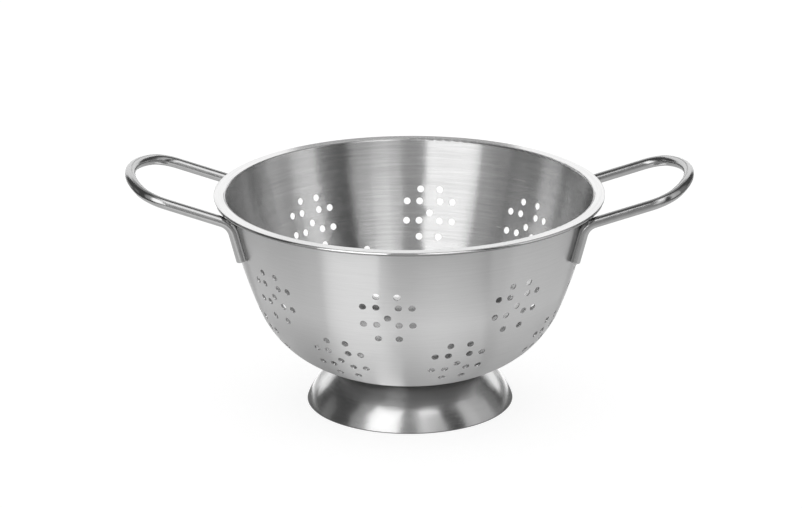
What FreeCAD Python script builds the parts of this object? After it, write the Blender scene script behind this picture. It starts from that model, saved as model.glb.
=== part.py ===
"""A footed steel colander: a pressed bowl, a pressed foot and two welded wire handles.

Millimetres and degrees. +Z is up, the origin is the centre of the foot on the ground, and the
handles point along -X and +X. Angles round the bowl are counted from -Y, the front, towards +X.
"""
import FreeCAD, Part
import os
from math import acos, asin, atan2, cos, degrees, hypot, pi, radians, sin, sqrt, tan

# Bowl: a pressed sheet with a flat flange and a hemmed edge
rim_diameter = 220.0
rim_height = 123.0
bowl_sheet = 0.7
flange_width = 5.8
mouth_bend = 0.5
mouth_lean = 10.0
knuckle_lean = 21.8
floor_diameter = 63.0
hem_gap = 0.5
hem_return = 2.2

# Drain holes: one punch of thirteen holes, struck in two rows round the wall and once in the floor
hole_diameter = 4.0
punch_overrun = 2.0
clusters_per_row = 8
upper_row_depth = 42.8
lower_row_depth = 77.4
upper_row_start = -51.2
lower_row_start = -70.2
upper_row_slips = (0.0, 0.0, 0.8, 0.0, 5.5, 0.0, 0.0, 0.0)
lower_row_slips = (0.0, -1.5, 0.0, 1.5, 0.0, 0.0, 2.0, 0.0)
inner_column = 6.1
outer_column = 13.5
end_pair_column = 5.7
top_pair_rise = 14.0
upper_line_rise = 6.9
lower_line_drop = 4.6
bottom_pair_drop = 14.1

# Foot: a pressed sheet, flared to the ground and flat on top
foot_diameter = 117.4
foot_height = 22.0
foot_sheet = 0.8
foot_opening_diameter = 46.0
skirt_radius = 42.0
skirt_lean = 19.0
cone_lean = 40.0
shoulder_radius = 6.0

# Handles: round wire, bent to a loop
wire_diameter = 6.0
grip_width = 77.0
handle_reach = 49.2
handle_tilt = 18.0
corner_radius = 18.0
end_bow_radius = 55.0
rim_bend_radius = 10.0
leg_drop = 28.9
leg_touch_depth = 20.0
leg_set_down = 1.2
wire_end_round = 0.8
lip_gap = 0.5
leg_gap = 0.1

# Welds
leg_weld_diameter = 3.0
leg_weld_depth = 1.2
leg_weld_pitch = 8.5
foot_weld_diameter = 4.0
foot_weld_count = 8
foot_weld_dimple = 0.15

# Lengths that follow from the driving dimensions
rim_radius = rim_diameter / 2
floor_radius = floor_diameter / 2
foot_opening_radius = foot_opening_diameter / 2
hem_thickness = 2 * bowl_sheet + hem_gap
wire_radius = wire_diameter / 2
strand_y = grip_width / 2
same_point = 1e-7
axis_z = FreeCAD.Vector(0, 0, 1)
origin = FreeCAD.Vector(0, 0, 0)


def section_point(radius, height):
    """A point of a turned section, which is drawn in the XZ plane."""
    return FreeCAD.Vector(radius, 0, height)


def polar(centre, radius, angle):
    """The section point at an angle in degrees, counted from outward towards up."""
    turn = radians(angle)
    return section_point(centre.x + radius * cos(turn), centre.z + radius * sin(turn))


def section_arc(centre, radius, start, end):
    middle = (start + end) / 2
    points = [polar(centre, radius, angle) for angle in (start, middle, end)]
    return Part.Arc(*points).toShape()


def line(start, end):
    return Part.LineSegment(start, end).toShape()


def joined(curves):
    """Joins a list of arcs, in order, with straight edges between them into one closed section."""
    edges = []
    for index, curve in enumerate(curves):
        following = curves[(index + 1) % len(curves)]
        end = curve.valueAt(curve.LastParameter)
        start = following.valueAt(following.FirstParameter)
        edges.append(curve)
        if (start - end).Length > same_point:
            edges.append(line(end, start))
    return edges


def turned(edges):
    """The solid that a closed section makes when it is turned about the Z axis."""
    face = Part.Face(Part.Wire(edges))
    return face.revolve(origin, axis_z, 360)


class Wall:
    """The bowl's outer wall: a long arc from the mouth, then a knuckle arc that meets the flat floor."""

    def __init__(self):
        self.bend_centre = section_point(
            rim_radius - flange_width,
            rim_height - bowl_sheet - mouth_bend,
        )
        mouth = polar(self.bend_centre, mouth_bend, 180 - mouth_lean)
        width = mouth.x - floor_radius
        height = mouth.z - foot_height
        # Both radii follow from the leans and from the width and height that the two arcs cover.
        top_cos = cos(radians(mouth_lean))
        top_sin = sin(radians(mouth_lean))
        low_cos = cos(radians(knuckle_lean))
        low_sin = sin(radians(knuckle_lean))
        scale = low_cos * (low_sin - top_sin) - (top_cos - low_cos) * (1 - low_sin)
        self.side_radius = (height * low_cos - width * (1 - low_sin)) / scale
        self.knuckle_radius = (width * (low_sin - top_sin) - height * (top_cos - low_cos)) / scale
        self.knuckle_centre = section_point(floor_radius, foot_height + self.knuckle_radius)
        spread = self.knuckle_radius - self.side_radius
        self.side_centre = polar(self.knuckle_centre, spread, -knuckle_lean)
        self.side_length = self.side_radius * radians(knuckle_lean - mouth_lean)

    def at_depth(self, depth):
        """The section point and the lean at a depth along the wall below the mouth."""
        if depth < self.side_length:
            lean = mouth_lean + degrees(depth / self.side_radius)
            return polar(self.side_centre, self.side_radius, -lean), lean
        lean = knuckle_lean + degrees((depth - self.side_length) / self.knuckle_radius)
        return polar(self.knuckle_centre, self.knuckle_radius, -lean), lean

    def arcs(self, inset):
        """The two arcs from the floor up to the mouth, moved into the bowl by inset."""
        return [
            section_arc(self.knuckle_centre, self.knuckle_radius - inset, -90, -knuckle_lean),
            section_arc(self.side_centre, self.side_radius - inset, -knuckle_lean, -mouth_lean),
        ]


def reversed_arcs(arcs):
    """The same arcs, followed the other way."""
    result = []
    for arc in reversed(arcs):
        first, last = arc.FirstParameter, arc.LastParameter
        points = [arc.valueAt(value) for value in (last, (first + last) / 2, first)]
        result.append(Part.Arc(*points).toShape())
    return result


def bowl_blank(wall):
    """The pressed sheet before it is punched."""
    hem_radius = hem_thickness / 2
    hem_centre = section_point(rim_radius - hem_radius, rim_height - hem_radius)
    return_inner = hem_centre.x - hem_return
    outside = wall.arcs(0) + [section_arc(wall.bend_centre, mouth_bend, 180 - mouth_lean, 90)]
    inside = wall.arcs(bowl_sheet)
    inside.append(section_arc(wall.bend_centre, mouth_bend + bowl_sheet, 180 - mouth_lean, 90))
    hem_inside = section_arc(hem_centre, hem_gap / 2, 90, -90)
    hem_outside = section_arc(hem_centre, hem_radius, -90, 90)
    return_top = section_point(return_inner, rim_height - hem_thickness + bowl_sheet)
    return_bottom = section_point(return_inner, rim_height - hem_thickness)
    floor_top = section_point(0, foot_height + bowl_sheet)
    floor_bottom = section_point(0, foot_height)
    curves = outside + [hem_inside, line(return_top, return_bottom), hem_outside]
    curves += reversed_arcs(inside) + [line(floor_top, floor_bottom)]
    return turned(joined(curves))


def punch_pattern():
    """The thirteen holes of the punch: across and up from its centre hole."""
    pattern = [(0.0, 0.0)]
    for side in (-1, 1):
        pattern.append((side * end_pair_column, top_pair_rise))
        pattern.append((side * end_pair_column, -bottom_pair_drop))
        for column in (inner_column, outer_column):
            pattern.append((side * column, upper_line_rise))
            pattern.append((side * column, -lower_line_drop))
    return pattern


def punch(point, direction):
    """The cutter for one hole, square to the sheet."""
    reach = bowl_sheet + punch_overrun
    base = point - direction * reach
    return Part.makeCylinder(hole_diameter / 2, 2 * reach, base, direction)


def wall_punches(wall, row_depth, row_start, slips):
    """The cutters of one row of clusters round the wall."""
    cutters = []
    pitch = 360 / clusters_per_row
    for index in range(clusters_per_row):
        heading = row_start + index * pitch + slips[index % len(slips)]
        for across, up in punch_pattern():
            section, lean = wall.at_depth(row_depth - up)
            turn = radians(heading) + across / section.x
            outward = FreeCAD.Vector(sin(turn), -cos(turn), 0)
            point = outward * section.x + axis_z * section.z
            direction = outward * cos(radians(lean)) - axis_z * sin(radians(lean))
            cutters.append(punch(point, direction))
    return cutters


def make_bowl(wall):
    cutters = wall_punches(wall, upper_row_depth, upper_row_start, upper_row_slips)
    cutters += wall_punches(wall, lower_row_depth, lower_row_start, lower_row_slips)
    for across, up in punch_pattern():
        cutters.append(punch(FreeCAD.Vector(across, up, foot_height), axis_z))
    return bowl_blank(wall).cut(cutters)


def foot_centres():
    """The centres of the skirt's arc and of the shoulder's, with a cone that touches both between them."""
    slope = radians(cone_lean)
    skirt_centre = section_point(
        foot_diameter / 2 - skirt_radius * cos(radians(skirt_lean)),
        -skirt_radius * sin(radians(skirt_lean)),
    )
    cone_bottom = polar(skirt_centre, skirt_radius, cone_lean)
    shoulder_z = foot_height - shoulder_radius
    cone_height = shoulder_z + shoulder_radius * sin(slope) - cone_bottom.z
    cone_top_x = cone_bottom.x - cone_height * tan(slope)
    return skirt_centre, section_point(cone_top_x - shoulder_radius * cos(slope), shoulder_z)


def make_foot():
    """The skirt, the cone, the shoulder and the flat top, as one sheet."""
    skirt_centre, shoulder_centre = foot_centres()
    inner_skirt_radius = skirt_radius - foot_sheet
    inner_shoulder_radius = shoulder_radius - foot_sheet
    inner_start = degrees(asin(-skirt_centre.z / inner_skirt_radius))
    curves = [
        section_arc(skirt_centre, skirt_radius, skirt_lean, cone_lean),
        section_arc(shoulder_centre, shoulder_radius, cone_lean, 90),
        line(
            section_point(foot_opening_radius, foot_height),
            section_point(foot_opening_radius, foot_height - foot_sheet),
        ),
        section_arc(shoulder_centre, inner_shoulder_radius, 90, cone_lean),
        section_arc(skirt_centre, inner_skirt_radius, cone_lean, inner_start),
    ]
    return turned(joined(curves))


def make_foot_welds():
    """Spot welds on a circle midway across the flange's contact with the bowl floor."""
    _, shoulder_centre = foot_centres()
    contact_radius = min(floor_radius, shoulder_centre.x)
    circle = (contact_radius + foot_opening_radius) / 2
    radius = foot_weld_diameter / 2
    bottom = foot_height - foot_sheet
    # The ball that presses the dimple passes through the weld's edge and the dimple's deepest point.
    ball_radius = (radius ** 2 + foot_weld_dimple ** 2) / (2 * foot_weld_dimple)
    welds = []
    for index in range(foot_weld_count):
        turn = 2 * pi * (index + 0.5) / foot_weld_count
        base = FreeCAD.Vector(circle * cos(turn), circle * sin(turn), bottom)
        disc = Part.makeCylinder(radius, foot_sheet, base)
        ball = Part.makeSphere(ball_radius, base - axis_z * (ball_radius - foot_weld_dimple))
        welds.append((disc, disc.cut(ball)))
    return welds


def bend(before, corner, after, radius):
    """The arc of a wire bent at a corner between two straight runs: its start, middle and end."""
    back = (before - corner).normalize()
    ahead = (after - corner).normalize()
    half = acos(back.dot(ahead)) / 2
    inward = (back + ahead).normalize()
    run = radius / tan(half)
    middle = corner + inward * (radius / sin(half) - radius)
    return corner + back * run, middle, corner + ahead * run


class Leg:
    """One leg of the right handle, a straight run along the wall and closest to it at one depth."""

    def __init__(self, wall):
        self.wall = wall
        offset = wall.side_radius + leg_gap + wire_radius - leg_set_down
        touch_z = rim_height - leg_touch_depth
        climb = touch_z - wall.side_centre.z
        spread = sqrt(offset ** 2 - climb ** 2)
        radius = wall.side_centre.x + spread
        touch_x = sqrt(radius ** 2 - strand_y ** 2)
        lean = -climb / spread * radius / touch_x
        self.touch = FreeCAD.Vector(touch_x, strand_y, touch_z)
        self.upward = FreeCAD.Vector(lean, 0, 1).normalize()
        self.end = self.touch + self.upward * ((leg_touch_depth - leg_drop) / self.upward.z)

    def weld(self, along):
        """The cylinder of a weld nugget, from inside the bowl's sheet to its depth in the wire."""
        point = self.touch + self.upward * along
        radius = hypot(point.x, point.y)
        section = section_point(radius, point.z) - self.wall.side_centre
        outward = FreeCAD.Vector(point.x / radius * section.x, point.y / radius * section.x, section.z)
        outward.normalize()
        sunk = bowl_sheet / 2
        wall_distance = section.Length - self.wall.side_radius
        base = point - outward * (wall_distance + sunk)
        height = sunk + leg_gap + leg_weld_depth
        return Part.makeCylinder(leg_weld_diameter / 2, height, base, outward)


def flipped(point):
    """The same point on the handle's other half."""
    return FreeCAD.Vector(point.x, -point.y, point.z)


def handle_path(leg):
    """The wire's centre line: leg, bend under the rim, strand, corner, bowed end, and back."""
    tilt = radians(handle_tilt)
    outward = FreeCAD.Vector(cos(tilt), 0, sin(tilt))
    edge_x = sqrt(rim_radius ** 2 - strand_y ** 2)
    edge_z = rim_height - hem_thickness - lip_gap - wire_radius / cos(tilt)
    edge = FreeCAD.Vector(edge_x, strand_y, edge_z)

    # The strand's line and the leg's line meet at the corner that the wire is bent round.
    across = edge - leg.touch
    run = (across.z * outward.x - across.x * outward.z)
    run /= leg.upward.z * outward.x - leg.upward.x * outward.z
    corner = leg.touch + leg.upward * run
    bend_start, bend_middle, bend_end = bend(leg.end, corner, corner + outward, rim_bend_radius)

    # The loop lies in the tilted plane, with distances counted from where the strand passes the rim.
    tip = (rim_radius + handle_reach - wire_radius - edge_x) / cos(tilt)
    bow_centre = tip - end_bow_radius
    corner_y = strand_y - corner_radius
    corner_s = bow_centre + sqrt((end_bow_radius - corner_radius) ** 2 - corner_y ** 2)
    meeting = atan2(corner_y, corner_s - bow_centre)
    halfway = (meeting + pi / 2) / 2

    def loop_point(distance, y):
        return edge + outward * distance + FreeCAD.Vector(0, y - strand_y, 0)

    strand_end = loop_point(corner_s, strand_y)
    corner_middle = loop_point(
        corner_s + corner_radius * cos(halfway),
        corner_y + corner_radius * sin(halfway),
    )
    bow_start = loop_point(
        bow_centre + end_bow_radius * cos(meeting),
        end_bow_radius * sin(meeting),
    )
    half = [
        line(leg.end, bend_start),
        Part.Arc(bend_start, bend_middle, bend_end).toShape(),
        line(bend_end, strand_end),
        Part.Arc(strand_end, corner_middle, bow_start).toShape(),
    ]
    other_half = [
        Part.Arc(flipped(bow_start), flipped(corner_middle), flipped(strand_end)).toShape(),
        line(flipped(strand_end), flipped(bend_end)),
        Part.Arc(flipped(bend_end), flipped(bend_middle), flipped(bend_start)).toShape(),
        line(flipped(bend_start), flipped(leg.end)),
    ]
    bow = Part.Arc(bow_start, loop_point(tip, 0), flipped(bow_start)).toShape()
    return Part.Wire(half + [bow] + other_half)


def wall_seat(wall):
    """The space that the wall takes, and a little round it, which the legs are pressed to fit."""
    arc = section_arc(wall.side_centre, wall.side_radius + leg_gap, -knuckle_lean, -mouth_lean)
    top = section_point(0, arc.valueAt(arc.LastParameter).z)
    bottom = section_point(0, arc.valueAt(arc.FirstParameter).z)
    return turned(joined([arc, line(top, bottom)]))


def make_handle(leg):
    """The bent wire, with its two cut ends rounded and its legs seated on the wall."""
    path = handle_path(leg)
    section = Part.Wire(Part.Circle(leg.end, leg.upward, wire_radius).toShape())
    wire = path.makePipeShell([section], True, False)
    expected = path.Length * pi * wire_radius ** 2
    print("handle wire length", round(path.Length, 2), "volume ratio", round(wire.Volume / expected, 5))
    ends = []
    for face in wire.Faces:
        flat = face.Surface.TypeId == "Part::GeomPlane"
        if flat:
            ends += face.Edges
    return wire.makeFillet(wire_end_round, ends).cut(wall_seat(leg.wall))


def make_leg_welds(leg):
    """The cylinders of the nuggets on both legs of the right handle."""
    welds = []
    for along in (-leg_weld_pitch / 2, leg_weld_pitch / 2):
        weld = leg.weld(along)
        welds += [weld, weld.mirror(origin, FreeCAD.Vector(0, 1, 0))]
    return welds


def save(name, shape):
    print(name, "valid", shape.isValid(), "solids", len(shape.Solids), "volume", round(shape.Volume, 2))
    shape.exportStep("parts/" + name + ".step")


def half_turn(shape):
    """The same piece on the left side."""
    return shape.rotated(origin, axis_z, 180)


def main():
    os.makedirs("parts", exist_ok=True)
    wall = Wall()
    print("wall radius", round(wall.side_radius, 2), "knuckle radius", round(wall.knuckle_radius, 2))
    bowl = make_bowl(wall)
    save("bowl", bowl)

    foot_welds = make_foot_welds()
    foot = make_foot().cut([disc for disc, _ in foot_welds])
    save("foot_ring", foot)
    save("foot_welds", Part.Compound([weld for _, weld in foot_welds]))

    leg = Leg(wall)
    leg_welds = make_leg_welds(leg)
    handle = make_handle(leg).cut(leg_welds)
    nuggets = Part.Compound([weld.cut(bowl_blank(wall)) for weld in leg_welds])
    save("right_handle", handle)
    save("left_handle", half_turn(handle))
    save("right_handle_welds", nuggets)
    save("left_handle_welds", half_turn(nuggets))


main()
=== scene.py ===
"""The colander's finish: brushed bowl, polished foot and wire handles, in plain soft studio light."""
from math import cos, radians, sin

import bpy
from mathutils import Matrix, Vector

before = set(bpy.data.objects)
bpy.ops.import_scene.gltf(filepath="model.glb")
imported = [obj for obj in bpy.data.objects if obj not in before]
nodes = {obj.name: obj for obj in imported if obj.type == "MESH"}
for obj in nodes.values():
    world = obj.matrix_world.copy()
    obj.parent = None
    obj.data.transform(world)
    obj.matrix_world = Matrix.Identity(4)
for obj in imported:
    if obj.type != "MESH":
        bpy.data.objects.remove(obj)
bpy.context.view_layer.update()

scene = bpy.context.scene

# Camera: the photograph's viewing angle, in metres and degrees. The colander stands a little turned,
# so the view comes from a heading just right of its front.
view_heading = 1.3
view_elevation = 18.58
view_distance = 1.8268
aim = Vector((-0.0048, 0.0, 0.0858))
camera_roll = -0.26
lens = 145.26
sensor = 36.0
camera_reach = 100.0

# Background and floor, where 1 is white
white = (1.0, 1.0, 1.0, 1.0)
ambient_brightness = 0.7
floor_glow = 0.8
floor_albedo = 0.35
floor_reach = 12.0

# What the steel reflects besides the white background: a dim room, softboxes, and painted light and
# shade on the floor
room_radius = 3.0
room_brightness = 0.1
room_steps = 36
card_steps = 8
floor_card_height = 0.00004

# Softboxes and screens: first and last heading, counted from the camera towards the right,
# lowest and highest elevation, distance, and brightness
softboxes = {
    "front_screen": (-50.0, 42.0, 0.0, 66.0, 2.6, 0.385),
    "screen_left": (-70.0, -50.0, 0.0, 66.0, 2.6, 0.52),
    "key": (-50.0, -12.3, 10.0, 60.0, 0.8, 2.3),
    "fill_edge": (5.0, 40.0, 12.0, 66.0, 2.5, 0.92),
    "fill": (14.0, 26.0, 12.0, 66.0, 2.4, 1.25),
    "fill_top": (12.0, 42.0, 42.0, 80.0, 2.3, 2.0),
    "side_strip": (64.0, 82.0, 0.0, 60.0, 2.6, 0.95),
    "side_screen": (82.0, 104.0, 0.0, 66.0, 2.6, 0.75),
    "side_edge": (104.0, 120.0, 0.0, 66.0, 2.6, 0.3),
    "strip_left": (-114.0, -98.0, 0.0, 22.0, 2.6, 0.3),
    "backdrop_low": (150.0, 218.0, 0.0, 17.6, 2.6, 1.2),
    "backdrop": (150.0, 218.0, 17.6, 36.0, 2.6, 1.3),
    "backdrop_top": (150.0, 218.0, 36.0, 66.0, 2.6, 0.5),
    "backdrop_band": (176.4, 183.6, 2.0, 20.0, 2.5, 0.35),
    "corner_left": (-152.0, -122.0, 7.0, 24.0, 0.28, 1.7),
    "corner_right": (122.0, 152.0, 7.0, 24.0, 0.28, 1.7),
    "overhead_front": (-25.0, 90.0, 66.0, 80.0, 2.6, 1.3),
    "overhead": (-180.0, 180.0, 80.0, 90.0, 2.6, 0.6),
}

# Painted pools of light and painted shade on the floor, which only the steel sees in reflection, each
# over
# the ones before it: first and last heading, nearest and furthest distance, and brightness
floor_cards = {
    "far_floor": (-180.0, 180.0, 0.4, 2.9, 0.46),
    "near_floor": (-180.0, 180.0, 0.0, 0.4, 0.62),
    "dark_left": (-120.0, -49.0, 0.4, 2.9, 0.1),
    "dark_right": (45.0, 120.0, 0.4, 2.9, 0.25),
    "near_left": (-120.0, -49.0, 0.095, 0.4, 0.9),
    "near_right": (45.0, 120.0, 0.095, 0.4, 0.85),
    # Painted pools of light where the lamps fall on the floor round the foot
    "pool_left": (-49.0, -16.5, 0.09, 0.4, 1.15),
    "pool_front": (-16.5, 45.0, 0.085, 0.16, 1.3),
    "back_left": (-165.0, -112.0, 0.07, 0.13, 1.6),
    "back_right": (112.0, 165.0, 0.07, 0.13, 1.6),
    # Painted shadow of the bowl on the floor round the foot, and a painted pool of the key light just in
    # front of it
    "foot_shade": (-112.0, 112.0, 0.0, 0.09, 0.2),
    "pool_key": (-24.0, -5.0, 0.06, 0.069, 3.4),
}

# Colour of the steel, and the painted shade that darkens the outside of the hem's lower half, where the
# gap under the rim lies in shadow
bowl_colour = (0.63, 0.63, 0.63)
foot_colour = (0.47, 0.47, 0.47)
wire_colour = (0.43, 0.43, 0.43)
weld_colour = (0.40, 0.39, 0.38)
painted_hem_shade = 0.36

# How rough each finish is
outside_roughness = 0.31
underside_roughness = 0.55
inside_roughness = 0.25
bowl_floor_roughness = 0.12
mouth_roughness = 0.45
flange_roughness = 0.075
foot_roughness = 0.23
wire_roughness = 0.18
weld_roughness = 0.45

# Heights where the bowl's finish changes, and how far the flange and the painted shade on the hem's
# lower half blend in
underside_bottom = 0.03
underside_top = 0.075
bowl_floor_top = 0.045
wall_bottom = 0.065
rim_top = max(corner[2] for corner in nodes["bowl"].bound_box)
hem_depth = 0.0019
hem_bottom = rim_top - hem_depth
hem_middle = rim_top - hem_depth / 2
flange_blend = 0.0004
hem_blend = 0.0002

# How far up the normal points where the mouth's bend and the flat flange begin and where they are
# reached, and how softly the inside turns into the outside
bend_from, bend_at = 0.5, 0.75
flat_from, flat_at = 0.85, 0.98
side_blend = 0.2

# Brushing: fine lines to a metre, how many times wider the broad ones and the foot's are, streaks
# round the axis, and how far the shine draws out across the lines
brush_lines = 2600.0
broad_width = 2.5
foot_line_width = 2.0
fine_streaks = 7.0
broad_streaks = 3.0
foot_streaks = 4.0
fine_share = 0.6
grain_detail = 3.0
brush_spread = 1.0
foot_spread = 0.3
quarter_turn = 0.25

# The range of the noise that shows, the lowest and highest share that it gives a value, and how far
# the streaks go below and above 1
noise_low, noise_high = 0.3, 0.7
bowl_unevenness = (0.9, 1.1)
foot_unevenness = (0.9, 1.12)
spot_unevenness = (0.85, 1.2)
grain_shades = (0.97, 1.03)
spot_shades = (0.95, 1.04)
inside_streaks = 0.08
outside_streaks = 0.02

# Relief of lines and spots, with its depth in metres and how strongly it shows, and the foot's waves
relief_depth = 0.00003
inside_relief = 0.16
outside_relief = 0.05
foot_relief = 0.06
wire_relief = 0.01
weld_relief = 0.6
wire_spot_size = 0.004
weld_spot_size = 0.0008
spot_detail = 4.0
wave_length = 0.015
wave_height = 0.00035
wave_detail = 1.0


def new_material(name):
    """A material with an empty node tree."""
    material = bpy.data.materials.new(name)
    material.use_nodes = True
    tree = material.node_tree
    tree.nodes.clear()
    return material, tree


def socket_named(node, key):
    """An input by name, with underscores for spaces, or by number, as i0 or i1."""
    if key[0] == "i" and key[1:].isdigit():
        return node.inputs[int(key[1:])]
    return node.inputs[key.replace("_", " ")]


def add(tree, kind, settings=None, **inputs):
    """Adds a node. An input is a constant, or another node's output to link."""
    node = tree.nodes.new("ShaderNode" + kind)
    for key, value in (settings or {}).items():
        setattr(node, key, value)
    for key, value in inputs.items():
        socket = socket_named(node, key)
        if isinstance(value, bpy.types.NodeSocket):
            tree.links.new(value, socket)
        else:
            socket.default_value = value
    return node


def scalar(tree, operation, first, second):
    return add(tree, "Math", {"operation": operation}, i0=first, i1=second).outputs[0]


def vector(tree, operation, first, second=(0.0, 0.0, 0.0)):
    return add(tree, "VectorMath", {"operation": operation}, i0=first, i1=second).outputs[0]


def ramp(tree, value, start, end, low, high):
    """Maps a value from start and end to low and high, and no further."""
    node = add(tree, "MapRange", Value=value, From_Min=start, From_Max=end, To_Min=low, To_Max=high)
    return node.outputs[0]


def varied(tree, noise, low, high):
    """A value that goes from low to high with the noise."""
    return ramp(tree, noise, noise_low, noise_high, low, high)


def blended(tree, share, first, second):
    """The first value where the share is 0, the second where it is 1."""
    return add(tree, "Mix", {"data_type": "FLOAT"}, i0=share, i2=first, i3=second).outputs[0]


def seen_directly(tree):
    """1 for rays from the camera and for mirrored or refracted ones, 0 for the rest."""
    path = add(tree, "LightPath").outputs
    shiny = scalar(tree, "MAXIMUM", path["Is Glossy Ray"], path["Is Transmission Ray"])
    return scalar(tree, "MAXIMUM", path["Is Camera Ray"], shiny)


def object_place(tree):
    return add(tree, "TexCoord").outputs["Object"]


def height_of(tree, direction):
    return add(tree, "SeparateXYZ", i0=direction).outputs["Z"]


def without_height(tree, place):
    return vector(tree, "MULTIPLY", place, (1.0, 1.0, 0.0))


def ring_grain(tree, lines_per_metre, streaks):
    """Noise in fine lines round the Z axis, with streaks that begin and end along the way."""
    place = object_place(tree)
    flat = without_height(tree, place)
    radius = add(tree, "VectorMath", {"operation": "LENGTH"}, i0=flat).outputs["Value"]
    heading = vector(tree, "NORMALIZE", flat)
    turn = add(tree, "VectorMath", {"operation": "SCALE"}, i0=heading, Scale=streaks).outputs[0]
    lift = add(tree, "CombineXYZ", Z=scalar(tree, "MULTIPLY", radius, lines_per_metre)).outputs[0]
    up = scalar(tree, "MULTIPLY", height_of(tree, place), lines_per_metre)
    place_4d = vector(tree, "ADD", turn, lift)
    noise = add(tree, "TexNoise", {"noise_dimensions": "4D"}, Vector=place_4d, W=up, Scale=1.0,
                Detail=grain_detail)
    return noise.outputs[0]


def outward_facing(tree):
    """1 where the sheet faces out and down, as the bowl's outside does, and 0 on its inside."""
    normal = add(tree, "TexCoord").outputs["Normal"]
    outward = vector(tree, "NORMALIZE", without_height(tree, object_place(tree)))
    out_and_down = vector(tree, "SUBTRACT", outward, (0.0, 0.0, 1.0))
    dot = add(tree, "VectorMath", {"operation": "DOT_PRODUCT"}, i0=normal, i1=out_and_down)
    return ramp(tree, dot.outputs["Value"], -side_blend, side_blend, 0.0, 1.0)


def facing_up(tree, start, end):
    """0 where the normal points up by less than the start, and 1 from the end on, as on the flange."""
    normal = add(tree, "TexCoord").outputs["Normal"]
    return ramp(tree, height_of(tree, normal), start, end, 0.0, 1.0)


def by_height(tree, start, end, low, high):
    """A value that goes from low to high between two heights."""
    return ramp(tree, height_of(tree, object_place(tree)), start, end, low, high)


def tinted(tree, colour, shade):
    """A colour made a little lighter and darker by a shade about 1."""
    parts = [scalar(tree, "MULTIPLY", shade, part) for part in colour]
    return add(tree, "CombineColor", Red=parts[0], Green=parts[1], Blue=parts[2]).outputs[0]


def finish(tree, colour, roughness, relief, spread):
    """The steel itself. Spread is how far the shine draws out across the lines round the Z axis."""
    tangent = add(tree, "Tangent", {"direction_type": "RADIAL", "axis": "Z"})
    shader = add(tree, "BsdfPrincipled", Base_Color=colour, Metallic=1.0, Roughness=roughness,
                 Anisotropic=spread, Anisotropic_Rotation=quarter_turn, Normal=relief,
                 Tangent=tangent.outputs[0])
    add(tree, "OutputMaterial", Surface=shader.outputs[0])


def bowl_steel():
    """Brushed round the bowl: satin and even outside, with clearer lines inside, a smooth flange, and
    painted shade on the hem's lower half.
    """
    material, tree = new_material("bowl_brushed")
    outside = outward_facing(tree)
    flange = by_height(tree, hem_bottom - flange_blend, hem_bottom, 0.0, 1.0)
    fine = ring_grain(tree, brush_lines, fine_streaks)
    broad = ring_grain(tree, brush_lines / broad_width, broad_streaks)
    lines = blended(tree, fine_share, broad, fine)

    satin = by_height(tree, underside_bottom, underside_top, underside_roughness, outside_roughness)
    bright = by_height(tree, bowl_floor_top, wall_bottom, bowl_floor_roughness, inside_roughness)
    wall = blended(tree, outside, bright, satin)
    uneven = scalar(tree, "MULTIPLY", wall, varied(tree, lines, *bowl_unevenness))
    mouth = scalar(tree, "MULTIPLY", flange, facing_up(tree, bend_from, bend_at))
    turned = blended(tree, mouth, uneven, mouth_roughness)
    smooth = scalar(tree, "MAXIMUM", outside, facing_up(tree, flat_from, flat_at))
    polished = scalar(tree, "MULTIPLY", flange, smooth)
    rough = blended(tree, polished, turned, flange_roughness)

    # Painted shade: darkens the outside of the hem's lower half, standing in for the shadow in the gap
    # under the rim
    hem_painted_shade = by_height(tree, hem_middle - hem_blend, hem_middle, painted_hem_shade, 1.0)
    hem = blended(tree, scalar(tree, "MULTIPLY", flange, outside), 1.0, hem_painted_shade)
    streak_depth = blended(tree, outside, inside_streaks, outside_streaks)
    darkest = scalar(tree, "SUBTRACT", 1.0, streak_depth)
    lightest = scalar(tree, "ADD", 1.0, streak_depth)
    streaks = varied(tree, broad, darkest, lightest)
    grain = varied(tree, fine, *grain_shades)
    # The tone is the brushing's random streaks and grain, times the painted shade on the hem
    shade = scalar(tree, "MULTIPLY", hem, scalar(tree, "MULTIPLY", streaks, grain))

    even = scalar(tree, "MAXIMUM", outside, flange)
    strength = blended(tree, even, inside_relief, outside_relief)
    relief = add(tree, "Bump", Strength=strength, Distance=relief_depth, Height=lines).outputs[0]
    finish(tree, tinted(tree, bowl_colour, shade), rough, relief, brush_spread)
    return material


def foot_steel():
    """Polished, a little wavy, with faint turning lines."""
    material, tree = new_material("foot_polished")
    lines = ring_grain(tree, brush_lines / foot_line_width, foot_streaks)
    rough = scalar(tree, "MULTIPLY", varied(tree, lines, *foot_unevenness), foot_roughness)
    shade = varied(tree, lines, *grain_shades)
    waves = add(tree, "TexNoise", Vector=object_place(tree), Scale=1 / wave_length, Detail=wave_detail)
    wavy = add(tree, "Bump", Strength=1.0, Distance=wave_height, Height=waves.outputs[0]).outputs[0]
    relief = add(tree, "Bump", Strength=foot_relief, Distance=relief_depth, Height=lines, Normal=wavy)
    finish(tree, tinted(tree, foot_colour, shade), rough, relief.outputs[0], foot_spread)
    return material


def mottled(name, colour, roughness, size, strength):
    """Steel with fine uneven spots and no direction."""
    material, tree = new_material(name)
    noise = add(tree, "TexNoise", Vector=object_place(tree), Scale=1 / size, Detail=spot_detail)
    spots = noise.outputs[0]
    rough = scalar(tree, "MULTIPLY", varied(tree, spots, *spot_unevenness), roughness)
    shade = varied(tree, spots, *spot_shades)
    relief = add(tree, "Bump", Strength=strength, Distance=relief_depth, Height=spots).outputs[0]
    finish(tree, tinted(tree, colour, shade), rough, relief, 0.0)
    return material


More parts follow.
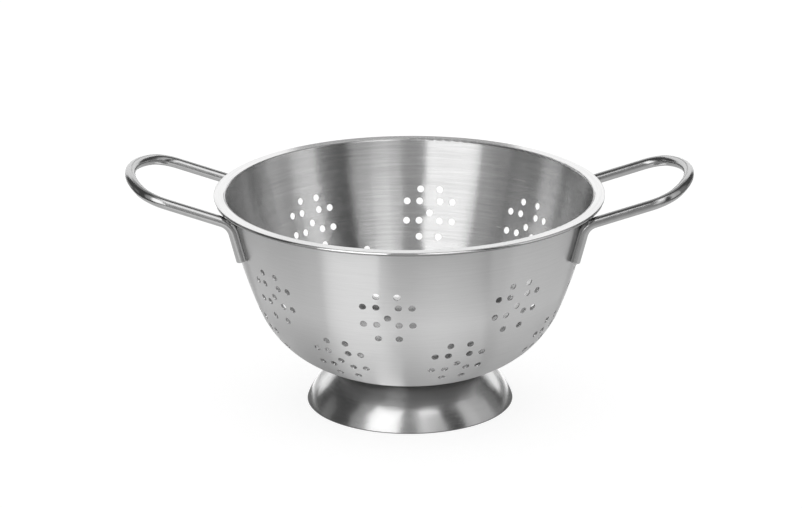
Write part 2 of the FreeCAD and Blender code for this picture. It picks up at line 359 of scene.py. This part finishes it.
def make_world():
    world = bpy.data.worlds.new("studio")
    scene.world = world
    world.use_nodes = True
    tree = world.node_tree
    tree.nodes.clear()
    backdrop = add(tree, "Background", Color=white, Strength=1.0)
    ambient = add(tree, "Background", Color=white, Strength=ambient_brightness)
    mix = add(tree, "MixShader", i0=seen_directly(tree), i1=ambient.outputs[0], i2=backdrop.outputs[0])
    add(tree, "OutputWorld", Surface=mix.outputs[0])


def stage_mesh(name, points, faces, material):
    mesh = bpy.data.meshes.new(name)
    mesh.from_pydata(points, [], faces)
    mesh.materials.append(material)
    piece = bpy.data.objects.new(name, mesh)
    scene.collection.objects.link(piece)
    return piece


def make_floor():
    material, tree = new_material("floor")
    glow = add(tree, "Emission", Color=white,
               Strength=scalar(tree, "MULTIPLY", seen_directly(tree), floor_glow))
    matte = add(tree, "BsdfDiffuse", Color=(floor_albedo, floor_albedo, floor_albedo, 1.0))
    both = add(tree, "AddShader", i0=glow.outputs[0], i1=matte.outputs[0])
    add(tree, "OutputMaterial", Surface=both.outputs[0])
    corners = [Vector((x, y, 0.0)) * floor_reach for x, y in ((-1, -1), (1, -1), (1, 1), (-1, 1))]
    stage_mesh("floor", corners, [(0, 1, 2, 3)], material)


def heading_vector(heading, elevation):
    """The direction at a heading from the camera towards the right, and an elevation."""
    turn, rise = radians(view_heading + heading), radians(elevation)
    return Vector((sin(turn) * cos(rise), -cos(turn) * cos(rise), sin(rise)))


def card(name, rows, brightness):
    """A bright or dark surface, through rows of points, that only the steel sees."""
    material, tree = new_material(name)
    glow = add(tree, "Emission", Color=white, Strength=brightness)
    add(tree, "OutputMaterial", Surface=glow.outputs[0])
    width = len(rows[0])
    points = [point for row in rows for point in row]
    faces = []
    for row in range(len(rows) - 1):
        for column in range(width - 1):
            corner = row * width + column
            faces.append((corner, corner + 1, corner + width + 1, corner + width))
    piece = stage_mesh(name, points, faces, material)
    piece.visible_camera = False
    piece.visible_diffuse = False
    piece.visible_shadow = False


def spread_between(first, last, steps):
    return [first + (last - first) * index / steps for index in range(steps + 1)]


def shell(first, last, low, high, distance, steps):
    """Rows of points round the colander, between two headings and two elevations."""
    rows = []
    for elevation in spread_between(low, high, card_steps):
        headings = spread_between(first, last, steps)
        rows.append([heading_vector(heading, elevation) * distance for heading in headings])
    return rows


def make_cards():
    """The dim room, the softboxes in front of it, and painted light and shade on the floor."""
    card("room", shell(-180, 180, 0, 90, room_radius, room_steps), room_brightness)
    for name, (first, last, low, high, distance, brightness) in softboxes.items():
        card(name, shell(first, last, low, high, distance, card_steps), brightness)
    for layer, (name, (first, last, near, far, brightness)) in enumerate(floor_cards.items(), start=1):
        lift = Vector((0, 0, layer * floor_card_height))
        rows = []
        for distance in (near, far):
            headings = spread_between(first, last, room_steps)
            rows.append([heading_vector(heading, 0) * distance + lift for heading in headings])
        card(name, rows, brightness)


def make_camera():
    data = bpy.data.cameras.new("camera")
    data.lens = lens
    data.sensor_width = sensor
    data.clip_end = camera_reach
    camera = bpy.data.objects.new("camera", data)
    scene.collection.objects.link(camera)
    place = aim + heading_vector(0, view_elevation) * view_distance
    turn = Matrix.Rotation(radians(view_heading), 4, "Z")
    tilt = Matrix.Rotation(radians(90 - view_elevation), 4, "X")
    roll = Matrix.Rotation(radians(camera_roll), 4, "Z")
    camera.matrix_world = Matrix.Translation(place) @ turn @ tilt @ roll
    scene.camera = camera


def dress(name, material):
    mesh = nodes[name].data
    for index in range(len(mesh.materials)):
        mesh.materials[index] = material


def main():
    scene.view_settings.view_transform = "Standard"
    make_world()
    make_floor()
    make_cards()
    make_camera()
    wire = mottled("wire_polished", wire_colour, wire_roughness, wire_spot_size, wire_relief)
    weld = mottled("weld_dull", weld_colour, weld_roughness, weld_spot_size, weld_relief)
    dress("bowl", bowl_steel())
    dress("foot_ring", foot_steel())
    for side in ("left", "right"):
        dress(side + "_handle", wire)
        dress(side + "_handle_welds", weld)
    dress("foot_welds", weld)


main()
